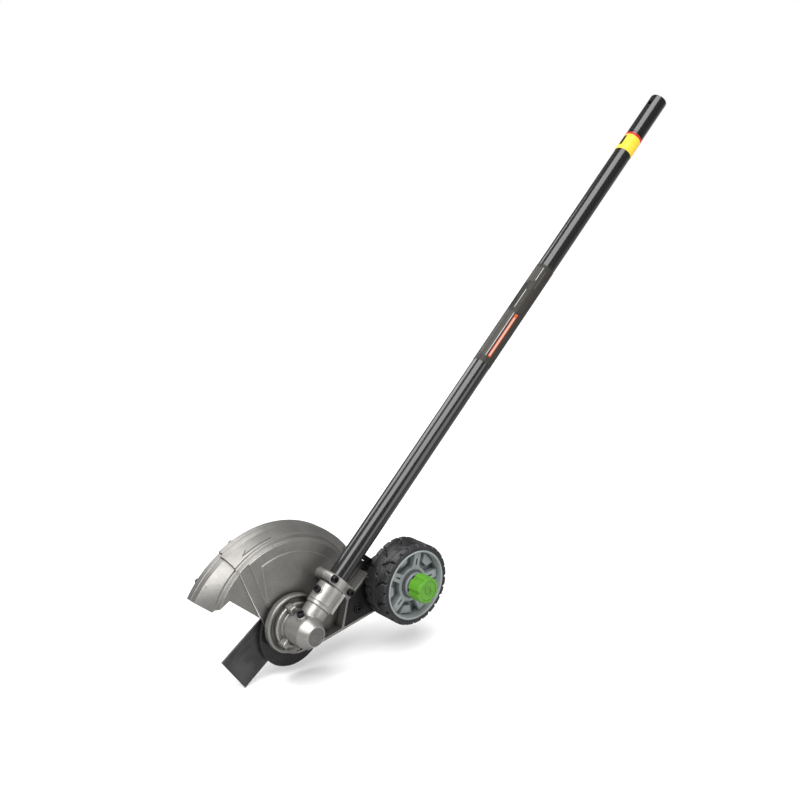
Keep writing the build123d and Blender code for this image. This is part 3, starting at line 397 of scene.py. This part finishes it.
# ------------------------------------------------------------ the CAD nodes' materials
looks = {
    "tube_black": woven_tube("tube_black"),
    "bushing_white": moulded("bushing_white", (0.78, 0.78, 0.75), 0.4, 0.0005, subsurface=0.1),
    "label_yellow": printed_film("label_yellow", (0.86, 0.6, 0.05), band_start, band_blocks, 0.35),
    "label_dark": printed_film("label_dark", (0.034, 0.031, 0.026), rating_start, rating_blocks, 0.45),
    "case_silver": cast_metal("case_silver", (0.50, 0.485, 0.46), 0.36, 0.0011),
    "guard_silver": cast_metal("guard_silver", (0.34, 0.33, 0.312), 0.4, 0.0009),
    "plug_grey": turned_steel("plug_grey", (0.3, 0.29, 0.28), 0.38, (1, 0.1, 1)),
    "bearing_steel": turned_steel("bearing_steel", (0.55, 0.55, 0.56), 0.25, (0.1, 1, 0.1)),
    "gear_steel": turned_steel("gear_steel", (0.3, 0.29, 0.28), 0.35, (1, 1, 1)),
    "blade_steel": dark_blade("blade_steel"),
    "disc_black": gloss_black("disc_black", (0.015, 0.015, 0.017), 0.25),
    "screw_black": turned_steel("screw_black", (0.045, 0.045, 0.05), 0.3, (1, 0.3, 1)),
    "seal_rubber": moulded("seal_rubber", (0.02, 0.02, 0.02), 0.55, 0.0006),
    "bracket_black": moulded("bracket_black", (0.006, 0.006, 0.0065), 0.42, 0.0008, edge=2.2),
    "rim_grey": moulded("rim_grey", (0.32, 0.355, 0.355), 0.34, 0.0007,
                        subsurface=0.03, shade=0.2, edge=1.35),
    "tyre_black": tyre_rubber("tyre_black"),
    "insert_brass": turned_steel("insert_brass", (0.6, 0.42, 0.16), 0.3, (0.1, 1, 0.1)),
    "knob_green": moulded("knob_green", (0.12, 0.37, 0.028), 0.36, 0.0006,
                          subsurface=0.04, shade=0.1, edge=1.4),
}
for entry in frame["record"]["subparts"]:
    part = nodes[entry["node"]]
    for place in part.material_slots:
        place.material = looks[entry["material_slot"]]


# ------------------------------------------------------------ pieces made here
def piece_from(name, vertices, faces, material):
    """A new smooth-shaded piece from its points and faces."""
    mesh = bpy.data.meshes.new(name)
    mesh.from_pydata(vertices, [], faces)
    mesh.materials.append(material)
    mesh.polygons.foreach_set("use_smooth", [True] * len(mesh.polygons))
    made = bpy.data.objects.new(name, mesh)
    bpy.context.scene.collection.objects.link(made)
    return made


def smooth_step(low, high, value):
    """0 up to low, 1 from high on, and a smooth rise between."""
    share = min(1.0, max(0.0, (value - low) / (high - low)))
    return share * share * (3 - 2 * share)


# The tread. Each pair of edges says how far from its middle a groove starts and stops rising.
tread_repeats = 12
tread_depth = 0.0026
cross_groove_edges = (0.0009, 0.0017)
centre_groove_edges = (0.0004, 0.0010)
centre_groove_share = 0.03
notch_edges = (0.0012, 0.0020)
notch_from_share = 0.72
fine_depth = 0.0011
fine_offsets = (0.0030, 0.0054)
fine_edges = (0.0004, 0.0008)
fine_up_to_share = 0.66
fine_limit_share = 0.70
groove_lean = 0.55
lean_up_to_share = 0.62
row_starts = (0.75, 0.25)

# The tyre's wall: rise above the bead in metres, and share of the half width.
tyre_wall = [(0.0, 0.97), (0.0006, 1.0), (0.0022, 1.0), (0.0026, 0.975), (0.0031, 0.975),
             (0.0035, 1.0), (0.0050, 1.0), (0.0062, 0.985), (0.0071, 0.955)]
shoulder_rise = (0.0038, 0.0060)
tread_edge_share = 0.915
tread_columns = 56
tyre_rings = 576
bead_gap = 0.00005


def tread_cut(turn, across, tyre_radius, half_width):
    """How deep the tread is cut at an angle around the tyre and a place across it."""
    share = abs(across) / half_width
    pitch = 2 * math.pi * tyre_radius / tread_repeats
    lean = groove_lean * min(share, lean_up_to_share) + row_starts[across > 0]
    phase = (turn / (2 * math.pi) * tread_repeats + lean) % 1.0
    to_block_end = min(phase, 1 - phase) * pitch
    to_centre = abs(share - centre_groove_share) * half_width
    cut = tread_depth * (1 - smooth_step(*cross_groove_edges, to_block_end))
    cut = max(cut, 0.6 * tread_depth * (1 - smooth_step(*centre_groove_edges, to_centre)))
    if share > notch_from_share:
        to_notch = abs(phase - 0.5) * pitch
        cut = max(cut, tread_depth * (1 - smooth_step(*notch_edges, to_notch)))
    elif share < fine_up_to_share:
        inset = min(to_block_end, to_centre, (fine_limit_share - share) * half_width)
        for offset in fine_offsets:
            cut = max(cut, fine_depth * (1 - smooth_step(*fine_edges, abs(inset - offset))))
    return cut


def make_tyre():
    """Block-tread tyre inside the plain CAD tyre's envelope."""
    low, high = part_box("tyre")
    rim_low, rim_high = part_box("wheel_rim")
    centre_y = (low.y + high.y) / 2
    half_width = (high.y - low.y) / 2
    radius = (high.z - low.z) / 2
    bead = (rim_high.z - rim_low.z) / 2 + bead_gap
    wall = [(bead + rise, share) for rise, share in tyre_wall]
    column_width = 2 * tread_edge_share / tread_columns
    tread = [(radius, tread_edge_share - column_width * i) for i in range(tread_columns + 1)]
    profile = wall + tread + [(reach, -share) for reach, share in reversed(wall)]
    vertices = []
    for i in range(tyre_rings):
        turn = 2 * math.pi * i / tyre_rings
        for full_reach, share in profile:
            across = share * half_width
            shoulder = smooth_step(bead + shoulder_rise[0], bead + shoulder_rise[1], full_reach)
            reach = full_reach - tread_cut(turn, across, radius, half_width) * shoulder
            vertices.append((wheel_centre.x + reach * math.cos(turn), centre_y - across,
                             wheel_centre.z + reach * math.sin(turn)))
    count = len(profile)
    faces = []
    for i in range(tyre_rings):
        here = i * count
        there = (i + 1) % tyre_rings * count
        for j in range(count):
            k = (j + 1) % count
            faces.append((here + j, here + k, there + k, there + j))
    made = piece_from("tread_tyre", vertices, faces, looks["tyre_black"])
    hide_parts("tyre")
    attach(made, "wheel")


# The guard's bevel is a leaning cone between a front and a back circle.
bevel_front_radius = 0.1104
bevel_front_y = -0.0072
bevel_back_radius = 0.1388
bevel_back_y = 0.0089
bevel_back_shift = (0.0009, -0.0229)

# The arrow on it: angles around the blade's axis, and shares of the way across the bevel.
arrow_tail = math.radians(97)
arrow_tip = math.radians(117.5)
arrow_share = 0.2
arrow_width = 0.05
arrow_lift = 0.00012
arrow_steps = 40


def bevel_point(turn, share, lift):
    """Point on the guard's bevel: share runs from its front edge to its back edge."""
    reach = bevel_front_radius + (bevel_back_radius - bevel_front_radius) * share + lift
    return Vector((bevel_back_shift[0] * share + reach * math.cos(turn),
                   bevel_front_y + (bevel_back_y - bevel_front_y) * share - lift,
                   bevel_back_shift[1] * share + reach * math.sin(turn)))


def make_turning_arrow():
    """Thin raised arrow on the bevel that shows which way the blade turns, painted dark as the shade of an
    engraved line.
    """
    step = (arrow_tip - arrow_tail) / arrow_steps
    stem = [(arrow_tail + step * i, arrow_share) for i in range(arrow_steps + 1)]
    barb = [(arrow_tip + math.radians(1.2), arrow_share - 0.01),
            (arrow_tip - math.radians(4.0), arrow_share + 0.24)]
    vertices, faces = [], []
    for stroke in (stem, barb):
        base = len(vertices)
        for turn, share in stroke:
            for side in (-0.5, 0.5):
                for height in (-arrow_lift, arrow_lift):
                    vertices.append(bevel_point(turn, share + side * arrow_width, height))
        for i in range(len(stroke) - 1):
            a = base + 4 * i
            b = a + 4
            for j, k in ((0, 1), (1, 3), (3, 2), (2, 0)):
                faces.append((a + j, a + k, b + k, b + j))
        end = base + 4 * (len(stroke) - 1)
        faces.append((base, base + 2, base + 3, base + 1))
        faces.append((end, end + 1, end + 3, end + 2))
    # Painted shade: the arrow is coloured dark to stand for the shade in an engraved line.
    arrow_painted_shade = moulded("arrow_painted_shade", (0.05, 0.048, 0.045), 0.5, 0.0006)
    made = piece_from("turning_arrow", vertices, faces, arrow_painted_shade)
    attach(made, "frame")


# Outlines of turned rings: radius, and distance behind the ring's reference face.
screw_ring_outline = [(0.0056, 0.0010), (0.0059, -0.0004), (0.0066, -0.0008), (0.0073, -0.0004),
                      (0.0076, 0.0010)]
hub_disc_outline = [(0.0135, 0.0), (0.0137, -0.0004), (0.0158, -0.0004), (0.0164, 0.0),
                    (0.0166, 0.0008), (0.0166, 0.0062), (0.0135, 0.0062)]
hub_recess = 0.0010
ring_steps = 96


def turned_ring(name, centre, front, outline, material):
    """Ring turned about an axis along Y. The centre is its X and Z, and front the Y of its face."""
    count = len(outline)
    vertices, faces = [], []
    for i in range(ring_steps):
        turn = 2 * math.pi * i / ring_steps
        for reach, back in outline:
            vertices.append((centre[0] + reach * math.cos(turn), front + back,
                             centre[1] + reach * math.sin(turn)))
        here = i * count
        there = (i + 1) % ring_steps * count
        for j in range(count):
            k = (j + 1) % count
            faces.append((here + j, there + j, there + k, here + k))
    return piece_from(name, vertices, faces, material)


def make_hub_disc():
    """Pale ring round the hub's end, with rounded edges."""
    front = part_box("wheel_rim")[0].y + hub_recess
    lilac = moulded("hub_lilac", (0.34, 0.35, 0.40), 0.35, 0.0007)
    made = turned_ring("hub_disc", (wheel_centre.x, wheel_centre.z), front, hub_disc_outline, lilac)
    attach(made, "wheel")


def make_bracket_rings():
    """Raised rings round the two screws of the wheel bracket."""
    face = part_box("wheel_bracket")[0].y
    points = [vertex.co.copy() for vertex in nodes["bracket_screws"].data.vertices]
    middle_x = sum(point.x for point in points) / len(points)
    screws = {
        "lower": [point for point in points if point.x < middle_x],
        "upper": [point for point in points if point.x >= middle_x],
    }
    for name, screw in screws.items():
        centre = [(min(point[axis] for point in screw) + max(point[axis] for point in screw)) / 2
                  for axis in (0, 2)]
        made = turned_ring(f"{name}_screw_ring", centre, face, screw_ring_outline, looks["bracket_black"])
        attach(made, "frame")


make_tyre()
make_turning_arrow()
make_hub_disc()
make_bracket_rings()

# ------------------------------------------------------------ floor, light and camera
floor_drop = 0.0005
floor_reach = 12.0
floor_height = cad_box[0][2] - floor_drop
floor_corners = [(-floor_reach, -floor_reach, floor_height), (floor_reach, -floor_reach, floor_height),
                 (floor_reach, floor_reach, floor_height), (-floor_reach, floor_reach, floor_height)]
floor_mesh = bpy.data.meshes.new("floor")
floor_mesh.from_pydata(floor_corners, [], [(0, 1, 2, 3)])
floor_mesh.materials.append(backdrop_white("floor_white"))
floor = bpy.data.objects.new("floor", floor_mesh)
bpy.context.scene.collection.objects.link(floor)


def facing(direction):
    """Rotation that points a lamp or a camera along a direction."""
    return direction.to_track_quat("-Z", "Y").to_euler()


def softbox(name, place, aim, size, power):
    """Rectangular lamp at a place, turned towards aim. The size is its width and height."""
    lamp = bpy.data.lights.new(name, "AREA")
    lamp.shape = "RECTANGLE"
    lamp.size, lamp.size_y = size
    lamp.energy = power
    holder = bpy.data.objects.new(name, lamp)
    holder.location = place
    holder.rotation_euler = facing(Vector(aim) - Vector(place))
    bpy.context.scene.collection.objects.link(holder)


middle = Vector((0.1, -0.03, 0.1))
softbox("key_light", (-1.2, -0.3, 1.1), middle, (0.7, 0.7), 9)
softbox("back_light", (-0.1, 1.3, 1.4), middle, (1.3, 1.0), 15)
softbox("fill_light", (0.6, -1.9, 0.5), middle, (0.9, 1.2), 7)
sun_lamp = bpy.data.lights.new("sky_sun", "SUN")
sun_lamp.energy = 2.5
sun_lamp.angle = math.radians(50)
sun = bpy.data.objects.new("sky_sun", sun_lamp)
sun.rotation_euler = facing(Vector((0.25, 0.3, -1.0)))
bpy.context.scene.collection.objects.link(sun)

# The surroundings look white to the camera, dim to polished metal, and grey to everything else.
world = bpy.data.worlds.new("studio")
world.use_nodes = True
bpy.context.scene.world = world
sky = world.node_tree
rays = sky.nodes.new("ShaderNodeLightPath")
sky_tone = (0.4, 0.4, 0.405)
for ray, tone in (("Is Glossy Ray", (0.16, 0.16, 0.165)), ("Is Camera Ray", (1, 1, 1))):
    pick = sky.nodes.new("ShaderNodeMix")
    pick.data_type = "RGBA"
    connect(sky, pick.inputs[0], rays.outputs[ray])
    connect(sky, pick.inputs[6], sky_tone)
    connect(sky, pick.inputs[7], tone)
    sky_tone = pick.outputs[2]
connect(sky, sky.nodes["Background"].inputs["Color"], sky_tone)

view_angle = math.radians(-41.15)
view_rise = math.radians(14.15)
view_distance = 1.2
view_target = Vector((0.120, -0.089, 0.277))
level_reach = math.cos(view_rise)
outward = Vector((math.sin(view_angle) * level_reach, -math.cos(view_angle) * level_reach,
                  math.sin(view_rise)))
lens = bpy.data.cameras.new("camera")
lens.lens = 45
lens.sensor_width = 36
camera = bpy.data.objects.new("camera", lens)
camera.location = view_target + outward * view_distance
camera.rotation_euler = facing(-outward)
bpy.context.scene.collection.objects.link(camera)
bpy.context.scene.camera = camera
bpy.context.scene.view_settings.view_transform = "Standard"
